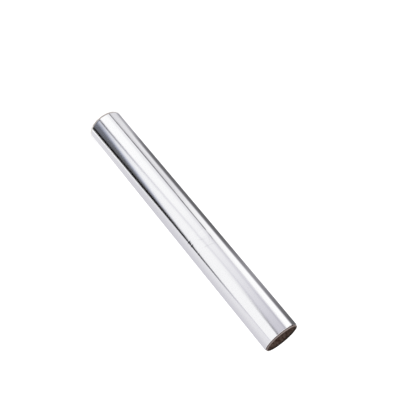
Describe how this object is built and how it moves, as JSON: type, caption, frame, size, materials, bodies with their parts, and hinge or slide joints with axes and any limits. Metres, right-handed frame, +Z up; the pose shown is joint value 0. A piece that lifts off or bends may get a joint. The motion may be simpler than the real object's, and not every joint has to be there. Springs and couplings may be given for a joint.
{
  "type": "aluminium foil roll",
  "caption": "Roll of household aluminium foil wound on an open card tube, with spiral turn edges at both ends and a free edge along its side.",
  "frame": {"origin": "centre of the card tube's lower end, on the surface that the roll stands on", "axes": "+Z up along the roll's axis, towards the end whose bore the picture shows; the foil's free edge is 237 degrees counter-clockwise from +X"},
  "size_m": [0.0389, 0.0388, 0.303],
  "materials": {
    "card": "matte grey-brown wound card",
    "foil": "bright rolled foil, faint lines round the roll"
  },
  "bodies": {
    "root": {"card_core": "card", "foil_winding": "foil"}
  },
  "joints": []
}
